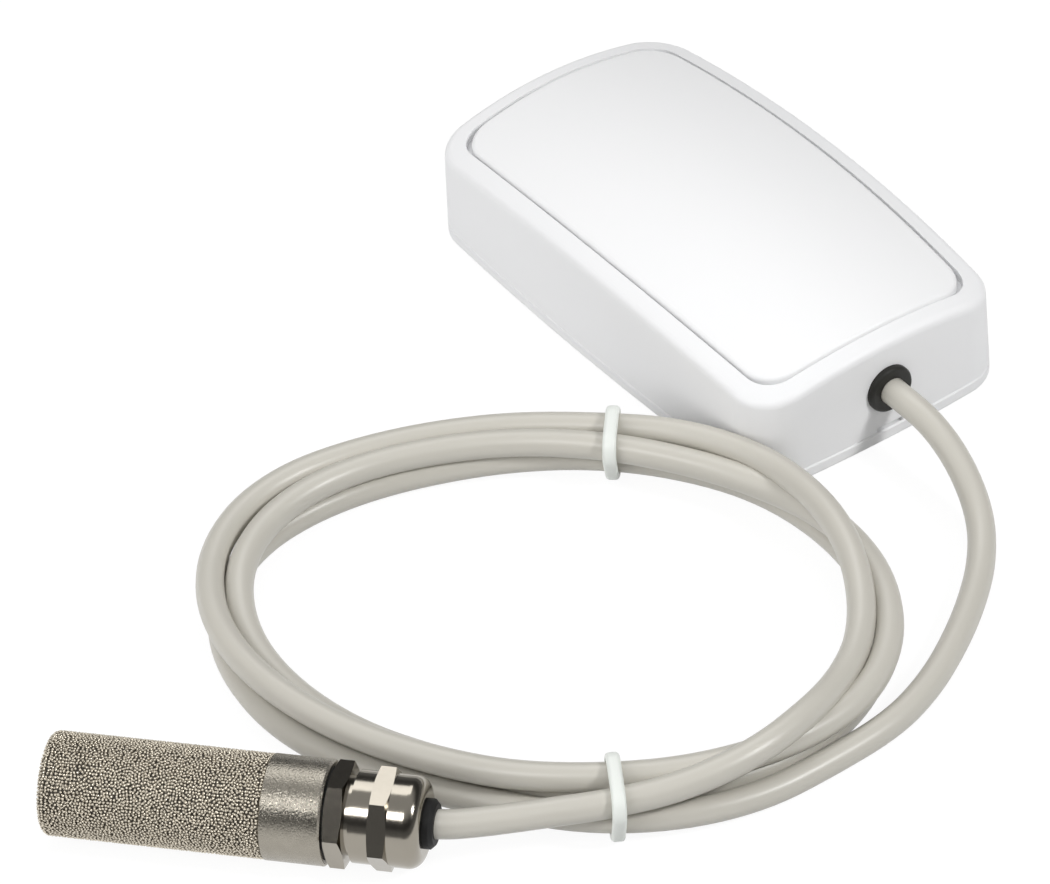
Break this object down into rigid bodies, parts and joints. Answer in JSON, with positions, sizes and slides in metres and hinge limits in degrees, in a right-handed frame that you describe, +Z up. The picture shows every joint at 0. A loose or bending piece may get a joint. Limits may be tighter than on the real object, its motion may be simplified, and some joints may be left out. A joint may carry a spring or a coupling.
{
  "type": "wireless temperature and humidity logger",
  "caption": "Domed white plastic wireless logger with an inlaid front panel, a coiled grey cable held by ties, and a probe with a porous metal cap and a plated cable gland.",
  "frame": {"origin": "middle of the case's flat underside", "axes": "+Z up out of the underside, +Y along the case away from its cable, +X across the case"},
  "size_m": [0.1825, 0.1499, 0.0232],
  "materials": {
    "case_plastic": "fine moulded texture, very pale grey",
    "panel_plastic": "fine moulded texture, white",
    "grommet_rubber": "black moulded rubber",
    "seal_rubber": "black moulded rubber",
    "cable_jacket": "satin warm grey jacket",
    "tie_plastic": "soft white",
    "filter_metal": "sintered, porous",
    "collar_metal": "satin plated",
    "gland_metal": "bright nickel plated",
    "board_laminate": "green solder mask",
    "chip_resin": "black moulded resin",
    "contact_metal": "plated spring sheet",
    "cell_can": "pressed steel can",
    "holder_plastic": "black moulded plastic",
    "socket_plastic": "ivory moulded plastic",
    "core_insulation": "smooth insulation",
    "potting_resin": "cast resin",
    "screw_steel": "zinc plated",
    "capacitor_can": "drawn can"
  },
  "bodies": {
    "root": {"top_cover": "case_plastic", "base_shell": "case_plastic", "front_panel": "panel_plastic", "cable_grommet": "grommet_rubber", "cable_stop": "tie_plastic", "main_board": "board_laminate", "board_screws": "screw_steel", "battery_holder": "holder_plastic", "coin_cell": "cell_can", "contact_positive": "contact_metal", "contact_negative": "contact_metal", "radio_module": "board_laminate", "radio_shield": "contact_metal", "antenna": "contact_metal", "microcontroller": "chip_resin", "memory_chip": "chip_resin", "clock_crystal": "contact_metal", "bulk_capacitor": "capacitor_can", "probe_socket": "socket_plastic", "probe_plug": "socket_plastic", "inner_cores": "core_insulation", "cable_lead": "cable_jacket", "cable_coil": "cable_jacket", "cable_tail": "cable_jacket", "tie_rear": "tie_plastic", "tie_front": "tie_plastic", "sensor_filter": "filter_metal", "probe_collar": "collar_metal", "gland_gasket": "seal_rubber", "gland_body": "gland_metal", "gland_nut": "gland_metal", "gland_seal": "seal_rubber", "probe_board": "board_laminate", "humidity_sensor": "chip_resin", "potting_plug": "potting_resin", "probe_cores": "core_insulation"}
  },
  "joints": []
}
